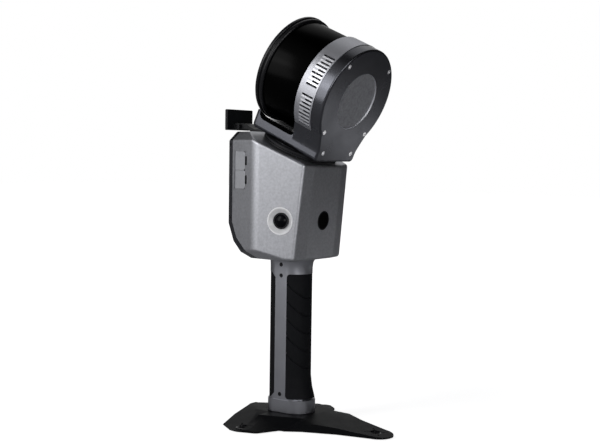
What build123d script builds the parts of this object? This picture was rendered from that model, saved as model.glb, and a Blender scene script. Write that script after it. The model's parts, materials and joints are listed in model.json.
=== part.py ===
from build123d import *
from math import sin, cos, tan, radians, degrees, atan2
import os

os.makedirs("parts", exist_ok=True)

# Handheld three-dimensional scanner, standing on its three-wing foot. Millimetres.
# The floor is z = 0, the handle axis is the Z axis and the front faces -Y.

# Fits and gaps
seat_gap = 0.05
run_gap = 0.35
seam_gap = 0.3
door_gap = 0.3

# Screws: head radius, head depth, shank radius and shank length
handle_screw = (1.95, 1.8, 1.25, 4.0)
cover_screw = (1.1, 1.0, 0.7, 2.8)
yoke_screw = (2.8, 2.4, 1.6, 7.8)
front_screw = (2.1, 1.7, 1.2, 3.6)
bracket_screw = (1.9, 1.6, 1.25, 4.5)

# Foot
foot_top = 11.0
foot_floor_gap = 1.2
foot_rim = 2.6
front_reach = 113.5
front_tip_radius = 14.0
front_mark_y = -97.0
star_mark_y = -52.0
side_mark_x = 60.5
side_mark_y = 11.0
plateau_front_y = -31.0
plateau_rear_y = 25.0
plateau_front_half = 23.0
plateau_rear_half = 17.0
rear_rim_y = 46.0
mark_bore = 4.0
pad_radius = 6.0

# Handle
body_bottom = 157.5
grip_half = 16.5
grip_front_centre = 4.0
grip_rear_reach = 19.0
grip_rear_corner = 12.0
strip_front_y = -6.0
strip_rear_y = 7.0
strip_centre_y = 0.5 * (strip_front_y + strip_rear_y)
strip_depth = 3.2
collar_split_z = 138.8
grip_top_z = 143.0
grip_bottom_z = 25.0
rubber_step = 0.25
spigot_radius = 11.0
groove_pitch = 16.6
groove_first_z = 119.8
groove_count = 5
groove_slope = 46.0
collar_front_extra = 4.9
collar_flare = 3.2
collar_side_extra = 0.9
end_collar_top = 23.5
cell_radius = 9.0
cell_length = 55.0

# Body
body_wall = 2.6
body_edge = 3.2
ridge_round = 22.0
front_y_bottom = -31.5
front_lean = 6.0
front_flat_half = 22.0
corner_half = 38.2
corner_step = 3.0
ridge_half = 47.0
ridge_y = 10.0
rear_half = 36.7
rear_y = 49.5
cover_depth = 6.5
top_z = 276.3
shoulder_z = 268.1
top_flat_half = 31.0
slope_angle = 24.3
knee_y = 41.5
knee_z = 172.5
knee_top_z = 189.5
heel_y = 24.0

# Rotating head, measured in its own frame: z is the height over the sloped top
pivot_y = -7.3
lidar_height = 65.7
head_front = 40.0
cap_radius = 51.4
cap_depth = 8.0
window_radius = 48.4
ring_radius = 50.6
ring_start = 8.4
plain_band = 7.0
arm_start = 28.5
cover_plate_depth = 2.8
plate_radius = 50.2
arm_foot_half = 31.0
base_low = 5.2
base_high = 16.0
lip_height = 25.5
lip_depth = 5.5
lip_round = 7.0
toe_round = 4.0
cradle_gap = 0.9
cradle_round = 5.0
turntable_radius = 36.0
turntable_low = 0.7
turntable_high = 4.8
badge_radius = 26.5
screw_ring = 44.4
cover_screw_half = 22.5
cover_screw_height = 14.0

# Cameras and doors
side_camera_y = -15.8
side_camera_z = 194.5
side_ring_radius = 12.75
lens_radius = 6.6
front_camera_z = 194.2
front_glass_radius = 8.0
door_rear_y = 39.4
door_width = 15.8
door_height = 17.6
door_split_z = 240.0
door_depth = 2.0

# Phone bracket
bracket_plate_y = 66.6
bracket_plate_half = 19.5
bracket_low_z = 278.0
bracket_high_z = 298.0
bracket_plate_depth = 3.0
bracket_pin_radius = 2.0


def at(plane, shape):
    return plane.location * shape


def cut_outside(shape, point, outward):
    return shape - Plane(origin=point, z_dir=outward) * Box(
        400, 400, 400, align=(Align.CENTER, Align.CENTER, Align.MIN))


def three_point(first, second, third, inner):
    one = Vector(*second) - Vector(*first)
    two = Vector(*third) - Vector(*first)
    normal = one.cross(two).normalized()
    if normal.dot(Vector(*inner) - Vector(*first)) > 0:
        normal = normal * -1
    return normal


def tube(outer, inner, low, high):
    ring = Circle(outer) - Circle(inner) if inner > 0 else Circle(outer)
    return Pos(0, 0, low) * extrude(ring, high - low)


def save(shape, name):
    shape.label = name
    export_step(shape, "parts/" + name + ".step")


# Body planes: each is a point, an outward direction and a family name
lean = radians(front_lean)
slope = radians(slope_angle)
body_heart = (0, 5, 215)
lean_run = tan(lean)
front_mid = (0, front_y_bottom, body_bottom)
front_out = Vector(0, -cos(lean), -sin(lean))
side_run = (ridge_half - corner_half) / (ridge_y - front_y_bottom - corner_step)
side_out = Vector(1, -side_run, 0).normalized()
rear_run = (ridge_half - rear_half) / (rear_y - ridge_y)
rear_out = Vector(1, rear_run, 0).normalized()
slope_out = Vector(0, -sin(slope), cos(slope))
slope_point = (0, ridge_y, shoulder_z)
chest = 86.0
body_planes = [
    (front_mid, front_out, "front"),
    (slope_point, slope_out, "slope"),
    ((0, 0, body_bottom), Vector(0, 0, -1), "bottom"),
    ((0, 0, top_z), Vector(0, 0, 1), "top"),
    ((0, rear_y, knee_top_z), Vector(0, 1, 0), "rear"),
    ((0, rear_y, knee_top_z),
     Vector(0, knee_top_z - knee_z, knee_y - rear_y).normalized(), "rear"),
    ((0, knee_y, knee_z),
     Vector(0, knee_z - body_bottom, heel_y - knee_y).normalized(), "rear"),
]
for side in (-1, 1):
    corner_out = three_point(
        (side * front_flat_half, front_y_bottom, body_bottom),
        (side * corner_half, front_y_bottom + corner_step, body_bottom),
        (side * front_flat_half, front_y_bottom - chest * lean_run, body_bottom + chest),
        body_heart)
    chin_out = three_point(
        (side * (corner_half + 0.4), front_y_bottom + corner_step + 2, body_bottom),
        (side * ridge_half, ridge_y, body_bottom + 9.0),
        (side * (ridge_half - 14), heel_y + 2, body_bottom), body_heart)
    crown_out = three_point(
        (side * ridge_half, ridge_y, shoulder_z),
        (side * rear_half, rear_y, shoulder_z),
        (side * top_flat_half, ridge_y + (top_z - shoulder_z) / tan(slope), top_z),
        body_heart)
    body_planes += [
        ((side * front_flat_half, front_y_bottom, body_bottom), corner_out, "corner"),
        ((side * ridge_half, ridge_y, shoulder_z),
         Vector(side * side_out.X, side_out.Y, 0), "side"),
        ((side * ridge_half, ridge_y, shoulder_z),
         Vector(side * rear_out.X, rear_out.Y, 0), "flank"),
        ((side * (ridge_half - 14), heel_y + 2, body_bottom), chin_out, "chin"),
        ((side * ridge_half, ridge_y, shoulder_z), crown_out, "crown"),
    ]


def body_block(inset, rear_inset):
    shape = Pos(0, 0, 215) * Box(150, 150, 150)
    for point, outward, family in body_planes:
        depth = rear_inset if family == "rear" else inset
        moved = Vector(*point) - outward * depth
        shape = cut_outside(shape, moved, outward)
    return shape


def side_point(side, y):
    return side * (ridge_half - (ridge_y - y) * side_run)


def flank_point(side, y):
    return side * (ridge_half - (y - ridge_y) * rear_run)


# Frames on the tilted and flared faces
head = Plane(origin=(0, pivot_y, shoulder_z + (pivot_y - ridge_y) * tan(slope)),
             x_dir=(1, 0, 0), z_dir=slope_out)
lidar = Plane(origin=head.from_local_coords((0, 0, lidar_height)),
              x_dir=(1, 0, 0), z_dir=head.from_local_coords((0, -1, 0)) - head.origin)
front_face = Plane(
    origin=(0, front_y_bottom - (front_camera_z - body_bottom) * lean_run, front_camera_z),
    x_dir=(1, 0, 0), z_dir=front_out)


def grip_face(half, front_centre, rear_reach, corner):
    return make_face(
        Line((half, -front_centre), (half, rear_reach - corner))
        + RadiusArc((half, rear_reach - corner), (half - corner, rear_reach), -corner)
        + Line((half - corner, rear_reach), (corner - half, rear_reach))
        + RadiusArc((corner - half, rear_reach), (-half, rear_reach - corner), -corner)
        + Line((-half, rear_reach - corner), (-half, -front_centre))
        + ThreePointArc((-half, -front_centre), (0, -front_centre - half),
                        (half, -front_centre)))


def grip_solid(inset, low, high):
    face = grip_face(grip_half - inset, grip_front_centre, grip_rear_reach - inset,
                     grip_rear_corner - inset)
    return Pos(0, 0, low) * extrude(face, high - low)


def screw(plane, head_radius, head_depth, shank_radius, shank_length, proud=0.0):
    top = tube(head_radius, 0, -head_depth, proud)
    socket = Pos(0, 0, proud - 0.55 * head_depth) * extrude(
        RegularPolygon(0.5 * head_radius, 6), head_depth)
    stem = tube(shank_radius, 0, -head_depth - shank_length, -head_depth)
    return at(plane, top - socket + stem)


def screw_hole(plane, head_radius, head_depth, shank_radius, shank_length):
    top = tube(head_radius + seat_gap, 0, -head_depth, 5)
    stem = tube(shank_radius + seat_gap, 0, -head_depth - shank_length - 0.3, -head_depth)
    return at(plane, top + stem)


# Foot: a rounded outline, a flat hub and three wings cut by planes
tip_y = -(front_reach - front_tip_radius)
half_outline = [
    (0, rear_rim_y), (-30, rear_rim_y - 2), (-66, 35),
    (-70, 10), (-64, -9), (-46, -17), (-33, -37), (-21, -68),
    (-front_tip_radius, tip_y)]
left_outline = [(-x, y) for x, y in reversed(half_outline[1:])]
foot_plan = make_face(
    Polyline(*half_outline)
    + ThreePointArc((-front_tip_radius, tip_y), (0, -front_reach),
                    (front_tip_radius, tip_y))
    + Polyline(*left_outline, half_outline[0]))
tip_corners = foot_plan.vertices().filter_by(lambda v: abs(v.X) > 60 and v.Y > 5)
foot_plan = fillet(tip_corners, 9.0)
waist_corners = foot_plan.vertices().filter_by(lambda v: -40 < v.Y < 0 and abs(v.X) > 30)
foot_plan = fillet(waist_corners, 6.5)
foot_low = foot_floor_gap
foot_prism = Pos(0, 0, foot_low) * extrude(foot_plan, foot_top - foot_low)


def wedge(*planes):
    shape = foot_prism
    for first, second, third, inner in planes:
        shape = cut_outside(shape, first, three_point(first, second, third, inner))
    return shape


def mirrored(points):
    return [(-x, y, z) for x, y, z in points]


front_top = [(0, plateau_front_y, foot_top), (5, plateau_front_y, foot_top),
             (0, front_mark_y, foot_rim + 1.6)]
front_wall = [(-plateau_front_half, plateau_front_y, foot_top),
              (-front_tip_radius + 1.0, front_mark_y, foot_rim + 1.6),
              (-38, -33, foot_low)]
hub_wall = [(-20, 10, foot_top), (-plateau_front_half, plateau_front_y, foot_top),
            (-42, -25, foot_low)]
rear_wall = [(0, plateau_rear_y, foot_top), (5, plateau_rear_y, foot_top),
             (0, rear_rim_y - 1, foot_rim)]
ridge_top = (-plateau_rear_half, plateau_rear_y, foot_top)
ridge_end = (-side_mark_x + 1.0, side_mark_y - 3.5, foot_rim + 2.0)
ridge_front = [ridge_top, ridge_end, (-20, 9, foot_top)]
ridge_back = [ridge_top, ridge_end, (-48, 39, foot_rim)]
ridge_near = [(-20, 9, foot_top), (-63, -7, foot_rim), (-38, -20, foot_low)]
low_heart = (0, 0, -40)
foot = wedge(
    (*front_top, low_heart), (*front_wall, (0, -60, 0)),
    (*mirrored(front_wall), (0, -60, 0)))
foot = cut_outside(foot, (0, 10, 0), Vector(0, 1, 0))
hub_part = wedge(
    (*hub_wall, low_heart), (*mirrored(hub_wall), low_heart),
    (*rear_wall, low_heart), (*front_top, low_heart))
foot += hub_part
for side in (-1, 1):
    turn = (lambda pts: pts) if side < 0 else mirrored
    wing = wedge((*turn(ridge_front), low_heart), (*turn(ridge_back), low_heart),
                 (*turn(ridge_near), low_heart))
    wing = cut_outside(wing, (-side * 5, 0, 0), Vector(-side, 0, 0))
    foot += wing

marks = [(0, front_mark_y), (-side_mark_x, side_mark_y), (side_mark_x, side_mark_y)]
pad_spots = [(0, front_mark_y + 16), (-side_mark_x + 15, side_mark_y),
             (side_mark_x - 15, side_mark_y)]
clamp_pocket_top = 6.0
clamp_head_radius = 12.0
thread_radius = 4.0
foot -= tube(clamp_head_radius + run_gap, 0, -1, clamp_pocket_top)
foot -= tube(thread_radius + 0.5, 0, 0, foot_top + 1)
for mark_x, mark_y in marks:
    foot -= Pos(mark_x, mark_y, 0) * tube(mark_bore + 1.2, 0, -1, foot_top)
    bearing_angle = degrees(atan2(mark_y, mark_x))
    for spoke in (45, -45):
        groove = Pos(mark_x, mark_y, foot_rim + 6.0) * Rot(0, 0, bearing_angle + spoke) * Box(
            22, 0.9, 12)
        skin = Pos(0, 0, -0.7) * foot
        foot -= groove - skin
for pad_x, pad_y in pad_spots:
    foot -= Pos(pad_x, pad_y, 0) * tube(pad_radius, 0, -1, foot_low + 0.8)
star = Polyline(*[
    (radius * cos(radians(angle)), radius * sin(radians(angle)))
    for angle, radius in [(0, 9.5), (45, 3.2), (90, 9.5), (135, 3.2),
                          (180, 9.5), (225, 3.2), (270, 9.5), (315, 3.2)]], close=True)
star_tool = Pos(0, star_mark_y, 0) * extrude(make_face(star), foot_top)
foot_skin = Pos(0, 0, -0.5) * foot
star_mark = (star_tool & foot) - foot_skin
foot -= star_mark
save(foot, "foot_base")
save(star_mark, "foot_centre_mark")
bushes = Compound([
    Pos(mark_x, mark_y, 0) * tube(mark_bore + 1.2, mark_bore, foot_low, foot_rim + 1.0)
    for mark_x, mark_y in marks])
save(bushes, "foot_point_bushes")
pads = Compound([
    Pos(pad_x, pad_y, 0) * tube(pad_radius, 0, 0, foot_low + 0.8)
    for pad_x, pad_y in pad_spots])
save(pads, "foot_pads")

# Clamp screw under the foot and its threaded bush in the handle end
clamp_low = 1.4
clamp_high = clamp_pocket_top
insert_low = foot_top
insert_high = insert_low + 11.0
clamp = tube(clamp_head_radius, 0, clamp_low, clamp_high)
for step in range(12):
    clamp -= Rot(0, 0, 30 * step) * Pos(clamp_head_radius + 1.2, 0, 0) * tube(2.0, 0, 0, 9)
clamp -= Pos(0, 0, clamp_low) * Box(14, 2.2, 3.0)
clamp += tube(thread_radius - seat_gap, 0, clamp_high, insert_high - 1)
save(clamp, "foot_clamp_screw")
insert = tube(7.0, thread_radius, insert_low, insert_high)
save(insert, "handle_thread_bush")

# Handle: inner core, metal frame with two side strips, collar and two rubber grips
core_top = body_bottom + 6.0
core = grip_solid(strip_depth, end_collar_top, body_bottom)
spigot = tube(spigot_radius, 0, body_bottom, core_top)
cell_bore = cell_radius + 0.3
cell_low = end_collar_top + 10
core = core + spigot - tube(cell_bore, 0, end_collar_top + 3, core_top + 1)
sleeve = grip_solid(0, foot_top, body_bottom) - grip_solid(strip_depth, end_collar_top, 400)
end_face = grip_face(grip_half + collar_side_extra, grip_front_centre + collar_front_extra
                     - collar_side_extra, grip_rear_reach + 0.5, grip_rear_corner)
end_collar = Pos(0, 0, foot_top) * extrude(end_face, end_collar_top - foot_top)
end_collar = fillet(end_collar.edges().group_by(Axis.Z)[0], 0.8)
neck_face = grip_face(grip_half, grip_front_centre, grip_rear_reach, grip_rear_corner)
flare_mid = grip_face(grip_half + 0.2, grip_front_centre + 0.6, grip_rear_reach,
                      grip_rear_corner)
flare_face = grip_face(grip_half + 1.0, grip_front_centre + collar_flare - 1.0,
                       grip_rear_reach, grip_rear_corner)
flare = loft([Pos(0, 0, body_bottom - 9) * neck_face, Pos(0, 0, body_bottom - 4) * flare_mid,
              Pos(0, 0, body_bottom) * flare_face], ruled=True)
flare -= grip_solid(strip_depth, 100, 400)
front_window = Pos(0, strip_front_y, grip_bottom_z) * Box(
    80, 60, grip_top_z - grip_bottom_z, align=(Align.CENTER, Align.MAX, Align.MIN))
front_window = fillet(front_window.edges().filter_by(Axis.X), 3.2)
rear_window = Pos(0, strip_rear_y, grip_bottom_z - 0.5) * Box(
    80, 60, grip_top_z + 2 - grip_bottom_z, align=(Align.CENTER, Align.MIN, Align.MIN))
rear_window = chamfer(rear_window.edges().filter_by(Axis.X), 5.0)
metal = sleeve + end_collar + flare - front_window - rear_window
metal -= tube(7.0, 0, 0, insert_high)
metal -= tube(thread_radius + 1, 0, 0, end_collar_top + 1)
screw_spots = [(side, z) for side in (-1, 1) for z in (151.8, 141.4, 28.6)]
handle_planes = [
    Plane(origin=(side * grip_half, strip_centre_y, z), x_dir=(0, 1, 0), z_dir=(side, 0, 0))
    for side, z in screw_spots]
for plane in handle_planes:
    metal -= screw_hole(plane, *handle_screw)
    core -= screw_hole(plane, *handle_screw)
frame_part = metal & Pos(0, 0, collar_split_z) * Box(
    90, 90, 300, align=(Align.CENTER, Align.CENTER, Align.MAX))
collar_part = metal & Pos(0, 0, collar_split_z) * Box(
    90, 90, 90, align=(Align.CENTER, Align.CENTER, Align.MIN))
save(core, "handle_core")
save(frame_part, "handle_frame")
save(collar_part, "handle_top_collar")
save(Compound([screw(plane, *handle_screw) for plane in handle_planes]),
     "handle_screws")

flare_low_z = grip_bottom_z - 0.5
flare_top_z = 46.0
pommel_face = grip_face(grip_half + collar_side_extra - 0.5, grip_front_centre
                        + collar_front_extra - collar_side_extra, grip_rear_reach,
                        grip_rear_corner)
pommel_mid = grip_face(grip_half, grip_front_centre + 1.3, grip_rear_reach,
                       grip_rear_corner)
slim_face = grip_face(grip_half - rubber_step, grip_front_centre, grip_rear_reach
                      - rubber_step, grip_rear_corner - rubber_step)
pommel = loft([Pos(0, 0, flare_low_z) * pommel_face, Pos(0, 0, 35) * pommel_mid,
               Pos(0, 0, flare_top_z) * slim_face], ruled=True)
rubber_blank = grip_solid(rubber_step, flare_low_z, 160)
rubber_blank = rubber_blank - grip_solid(strip_depth, 0, 400)
pommel -= grip_solid(strip_depth, 0, 400)
front_grip = (rubber_blank + pommel) & front_window
for count in range(groove_count):
    groove_z = groove_first_z - count * groove_pitch
    slot = Pos(0, -grip_front_centre - grip_half, groove_z) * Rot(groove_slope, 0, 0) * Box(
        60, 60, 1.5)
    front_grip -= slot - grip_solid(rubber_step + 0.9, 0, 400)
rear_grip = rubber_blank & rear_window
save(front_grip, "handle_front_grip")
save(rear_grip, "handle_rear_grip")
cells = Compound([
    tube(cell_radius, 0, cell_low + number * (cell_length + 0.5),
         cell_low + number * (cell_length + 0.5) + cell_length)
    + tube(3.0, 0, cell_low + number * (cell_length + 0.5) + cell_length,
           cell_low + number * (cell_length + 0.5) + cell_length + 0.5)
    for number in range(2)])
save(cells, "battery_cells")
cells_top = cell_low + 2 * cell_length + 1.0
contact_low = tube(6.0, 4.6, end_collar_top + 3, cell_low)
contact_high = tube(cell_bore, 0, cells_top, cells_top + 2.5)
save(Compound([contact_low, contact_high]), "battery_contacts")

# Body: hollow front shell, rear cover, camera holes and the two door pockets
def near_ridge(edge, reach):
    middle = edge.center()
    upright = edge.geom_type == GeomType.LINE and abs(edge.tangent_at(0.5).Z) > 0.99
    close = abs(abs(middle.X) - ridge_half) < reach and abs(middle.Y - ridge_y) < reach
    return upright and close


outer = body_block(0, 0)
outer = fillet(outer.edges().filter_by(lambda edge: near_ridge(edge, 0.5)), ridge_round)
ridge_reach = 0.5 * ridge_round
outer = fillet([edge for edge in outer.edges() if not near_ridge(edge, ridge_reach)], body_edge)
inner = body_block(body_wall, body_wall)
rear_zone = outer - body_block(-8, cover_depth)
shell = (outer & body_block(-8, cover_depth + seam_gap)) - body_block(body_wall, 0)
tongue = (body_block(body_wall + seat_gap, 3.2) - body_block(body_wall + 2.4, 0)
          - body_block(-8, cover_depth + 3))
cover = rear_zone - inner
opening_radius = 25.8
housing_outer = 33.0
shell += tongue
shell -= at(head, tube(opening_radius, 0, -8, 8))
shell -= tube(spigot_radius + seat_gap, 0, body_bottom - 1, core_top + 1)

camera_planes = {}
for side, word in ((-1, "right"), (1, "left")):
    camera_planes[word] = Plane(
        origin=(side_point(side, side_camera_y), side_camera_y, side_camera_z),
        x_dir=(side_out.Y, -side * side_out.X, 0),
        z_dir=(side * side_out.X, side_out.Y, 0))
ring_depth = 4.6
dish_depth = 3.4
barrel_depth = 14.0
board_half = 8.0
board_depth = 1.6
ring_parts = []
barrel_parts = []
lens_parts = []
board_parts = []
for word, plane in camera_planes.items():
    shell -= at(plane, tube(side_ring_radius, 0, -20, 5))
    ring = tube(side_ring_radius - seat_gap, lens_radius + 1.0, -ring_depth, 0.5)
    dish = at(plane, Pos(0, 0, 0.6 - 0.5 * dish_depth) * Cone(
        lens_radius + 1.4, side_ring_radius - 1.2, dish_depth))
    hood = tube(lens_radius + 1.0 + 1.6, lens_radius + 1.0, -ring_depth - 3, -ring_depth)
    ring_parts.append(at(plane, ring + hood) - dish)
    barrel = tube(lens_radius + 1.0 - seat_gap, lens_radius - 0.6, -3.0, -1.6)
    barrel += tube(lens_radius + 1.0 - seat_gap, lens_radius - 1.6, -barrel_depth, -3.0)
    barrel_parts.append(at(plane, barrel))
    dome = Pos(0, 0, -8.6) * Sphere(8.6)
    dome &= tube(lens_radius - 0.65, 0, -3.0, 2)
    lens_parts.append(at(plane, dome))
    board_parts.append(at(plane, Pos(0, 0, -barrel_depth - 0.5 * board_depth) * Box(
        2 * board_half, 2 * board_half, board_depth)))
save(Compound(ring_parts), "side_camera_rings")
save(Compound(barrel_parts), "side_camera_barrels")
save(Compound(lens_parts), "side_camera_lenses")
shell -= at(front_face, tube(front_glass_radius + 1.0, 0, -12, 5))
front_bezel = tube(front_glass_radius + 1.0 - seat_gap, front_glass_radius, -body_wall, 0.3)
front_bezel += tube(front_glass_radius + 2.6, front_glass_radius - 1.0, -4.2, -body_wall)
save(at(front_face, front_bezel), "front_camera_bezel")
save(at(front_face, tube(front_glass_radius - seat_gap, 0, -1.6, 0)), "front_camera_window")
front_barrel = tube(front_glass_radius - 1.0 - seat_gap, 4.4, -barrel_depth, -2.4)
front_barrel += tube(5.0, 0, -8, -5)
save(at(front_face, front_barrel), "front_camera_barrel")
board_parts.append(at(front_face, Pos(0, 0, -barrel_depth - 0.5 * board_depth) * Box(
    2 * board_half, 2 * board_half, board_depth)))
save(Compound(board_parts), "camera_boards")

# Two port doors on the right flank: the hinge is at their rear edge
hinge_depth = 0.5 * door_depth
hinge_y = door_rear_y - hinge_depth
run_dir = Vector(-(ridge_half - rear_half), -(rear_y - ridge_y), 0).normalized()
flank = Plane(origin=(flank_point(-1, hinge_y), hinge_y, door_split_z),
              x_dir=run_dir, z_dir=(-rear_out.X, rear_out.Y, 0))
pocket_depth = door_depth + 0.3
boss = at(flank, Pos(0.5 * door_width - 1, 0, -4.2) * Box(
    door_width + 5, 2 * door_height + 6, 7.4))
shell += boss & body_block(1.0, 1.0) & body_block(-8, cover_depth + seam_gap)
door_names = {1: "port_door_upper", -1: "port_door_lower"}
sockets = {}
for level, name in door_names.items():
    middle = level * 0.5 * door_height
    tall = door_height - door_gap
    pocket = Pos(-hinge_depth - door_gap, middle, -pocket_depth) * Box(
        door_width + 2 * door_gap, door_height + 0.001, pocket_depth + 3,
        align=(Align.MIN, Align.CENTER, Align.MIN))
    shell -= at(flank, pocket)
    notch = Pos(door_width - 0.6, middle, 0.6) * Rot(90, 0, 0) * Cylinder(2.6, 8.5)
    shell -= at(flank, notch)
    leaf = Pos(0, middle, -door_depth) * Box(
        door_width - hinge_depth, tall, door_depth,
        align=(Align.MIN, Align.CENTER, Align.MIN))
    leaf = fillet(leaf.edges().filter_by(Axis.Z).sort_by(Axis.X)[-2:], 2.4)
    knuckle = Pos(0, middle, -hinge_depth) * Rot(90, 0, 0) * Cylinder(hinge_depth, tall)
    door = leaf + knuckle
    pin_bore = Pos(0, middle, -hinge_depth) * Rot(90, 0, 0) * Cylinder(0.4 + 0.05, tall + 2)
    save(at(flank, door - pin_bore), name)
    mouth = Pos(0.5 * door_width - 0.5, middle, -6.0) * Box(4.6, 10.6, 12)
    mouth = fillet(mouth.edges().filter_by(Axis.Z), 2.0)
    shell -= at(flank, mouth)
    shell_inner = Pos(0.5 * door_width - 0.5, middle, -pocket_depth - 0.2) * Box(
        4.5, 10.5, 8.0, align=(Align.CENTER, Align.CENTER, Align.MAX))
    shell_inner = fillet(shell_inner.edges().filter_by(Axis.Z), 1.95)
    bore = Pos(0.5 * door_width - 0.5, middle, -pocket_depth - 6) * Box(
        3.4, 9.2, 20, align=(Align.CENTER, Align.CENTER, Align.MIN))
    bore = fillet(bore.edges().filter_by(Axis.Z), 1.5)
    blade = Pos(0.5 * door_width - 0.5, middle, -pocket_depth - 6.2) * Box(
        0.8, 6.6, 5.0, align=(Align.CENTER, Align.CENTER, Align.MIN))
    sockets[level] = at(flank, shell_inner - bore + blade)
save(Compound(list(sockets.values())), "port_sockets")
pin_reach = door_height + 1.2
hinge_pin = at(flank, Pos(0, 0, -hinge_depth) * Rot(90, 0, 0) * Cylinder(
    0.4, 2 * pin_reach))
shell -= hinge_pin
save(hinge_pin, "port_door_pin")

# Rear cover with its screws, button, light and the parts behind them
cover_spots = [(side, z) for side in (-1, 1) for z in (264.0, 195.0)]
cover_planes = [
    Plane(origin=(flank_point(side, 45.6), 45.6, z), x_dir=(0, 0, 1),
          z_dir=(side * rear_out.X, rear_out.Y, 0)) for side, z in cover_spots]
for plane in cover_planes:
    hole = screw_hole(plane, *cover_screw)
    cover -= hole
    shell -= hole
button_z = 236.0
button_radius = 6.0
button_travel = 0.8
button_plane = Plane(origin=(0, rear_y, button_z), x_dir=(1, 0, 0), z_dir=(0, 1, 0))
light_plane = Plane(origin=(0, rear_y, button_z - 14), x_dir=(1, 0, 0), z_dir=(0, 1, 0))
bezel_radius = button_radius + 2.2
cover -= at(button_plane, tube(bezel_radius, 0, -12, 2))
bezel = tube(bezel_radius - seat_gap, button_radius + run_gap, -body_wall, 0.5)
bezel += tube(bezel_radius + 1.4, button_radius + run_gap, -body_wall - 1.0, -body_wall)
save(at(button_plane, bezel), "power_button_bezel")
button = tube(button_radius, 0, -body_wall - 1.0, 1.2)
button = fillet(button.edges().group_by(Axis.Z)[-1], 0.6)
button += tube(button_radius + 1.6, 0, -body_wall - 2.2, -body_wall - 1.0)
save(at(button_plane, button), "power_button")
dome_top = -body_wall - 2.2 - button_travel - 0.1
board_top = dome_top - 1.6
switch_dome = Pos(0, 0, board_top) * extrude(Circle(3.0) - Circle(1.0), dome_top - board_top)
save(at(button_plane, switch_dome), "button_switch")
pipe = Pos(0, 0, 0.15 - 0.5 * (body_wall + 0.15 + 1.2)) * Box(11.9, 2.2, body_wall + 1.35)
cover -= at(light_plane, Pos(0, 0, -3) * Box(12, 2.3, 12))
save(at(light_plane, pipe), "status_light")
button_board = Pos(0, -4, board_top - 0.8) * Box(26, 34, 1.6)
save(at(button_plane, button_board), "button_board")
post_low = board_top
for post_x in (-10, 10):
    for post_y in (-17, 9):
        cover += at(button_plane, tube(2.0, 0, post_low, -body_wall + 0.5).moved(
            Location((post_x, post_y, 0))))
bracket_base = 2.6
bracket_screw_planes = [
    Plane(origin=(x, 35.5, top_z + bracket_base)) for x in (-3.8, 3.8)]
for plane in bracket_screw_planes:
    shell -= screw_hole(plane, *bracket_screw)
save(shell, "body_shell")
save(cover, "rear_cover")
save(Compound([screw(plane, *cover_screw) for plane in cover_planes]),
     "rear_cover_screws")

# Inner frame with the main board and the motion sensor
frame_low = body_bottom + body_wall
plate_y = 5.0
chassis = Pos(0, -7, frame_low) * Box(46, 26, 2.4, align=(Align.CENTER, Align.CENTER, Align.MIN))
chassis += Pos(0, plate_y, frame_low) * Box(
    58, 2.0, 58, align=(Align.CENTER, Align.CENTER, Align.MIN))
chassis -= tube(spigot_radius + seam_gap, 0, frame_low - 1, core_top + seam_gap)
save(chassis, "inner_frame")
board = Pos(0, plate_y + 1.8, frame_low + 8) * Box(
    54, 1.6, 46, align=(Align.CENTER, Align.CENTER, Align.MIN))
for chip_x, chip_z, chip_w, chip_h in ((-12, 28, 14, 14), (12, 30, 10, 12), (0, 14, 18, 7)):
    board += Pos(chip_x, plate_y + 2.6, frame_low + 8 + chip_z) * Box(
        chip_w, 1.4, chip_h, align=(Align.CENTER, Align.MIN, Align.CENTER))
save(board, "main_board")
sensor = Pos(0, plate_y - 1.0, frame_low + 34) * Box(
    18, 7, 18, align=(Align.CENTER, Align.MAX, Align.CENTER))
save(sensor, "motion_sensor")

# Drive under the sloped top: housing, bearing, direct motor, slip ring and turntable
top_wall = -body_wall
bearing_high = top_wall - 1.0
bearing_low = bearing_high - 7.5
neck_radius = 22.0
neck_low = -24.0
housing_floor = -30.0
hub_bore = 12.0
race_outer = 31.5
race_inner = 26.2
housing = tube(housing_outer, race_outer + seat_gap, housing_floor, top_wall)
housing += tube(housing_outer, 10.6, housing_floor - 2, housing_floor)
housing += tube(race_outer + 0.5, 29.2, bearing_low - 2, bearing_low)
save(at(head, housing), "drive_housing")
outer_race = tube(race_outer, 27.4, bearing_low, bearing_high)
inner_race = tube(race_inner, neck_radius, bearing_low, bearing_high)
save(at(head, outer_race), "bearing_outer_ring")
save(at(head, inner_race), "bearing_inner_ring")
stator = tube(race_outer, 25.6, neck_low + 0.5, bearing_low - 2.0)
for tooth in range(12):
    stator -= Rot(0, 0, 30 * tooth) * Pos(26.5, 0, -17) * Box(5, 1.6, 30)
save(at(head, stator), "motor_stator")
magnets = tube(24.8, neck_radius, neck_low, bearing_low - 3.0)
save(at(head, magnets), "motor_rotor")
hub = tube(turntable_radius, 2.4, turntable_low, turntable_high)
hub = fillet(hub.edges().filter_by(GeomType.CIRCLE).sort_by(SortBy.RADIUS)[-2:], 0.5)
groove_mid = 0.5 * (turntable_low + turntable_high)
hub -= tube(turntable_radius + 1, turntable_radius - 0.8, groove_mid - 0.4, groove_mid + 0.4)
hub += tube(opening_radius - 0.6, hub_bore, bearing_high + 0.2, turntable_low)
hub += tube(neck_radius + 1.6, hub_bore, bearing_high, bearing_high + 0.2)
hub += tube(neck_radius, hub_bore, neck_low, bearing_high)
hub_screw_angles = (30, 150, 210, 330)
hub_screw_ring = 17.0
hub_screw_tops = [
    Plane(origin=(hub_screw_ring * cos(radians(a)), hub_screw_ring * sin(radians(a)), 10.8))
    for a in hub_screw_angles]
for plane in hub_screw_tops:
    hub -= screw_hole(plane, *yoke_screw)
save(at(head, hub), "turntable")
encoder = tube(24.4, hub_bore + 0.6, neck_low - 1.2, neck_low)
save(at(head, encoder), "encoder_disc")
slip_fixed = tube(10.5, 6.2, housing_floor - 2, -14.0)
slip_turning = tube(5.4, 2.4, housing_floor, turntable_low)
save(at(head, slip_fixed), "slip_ring_body")
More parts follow.
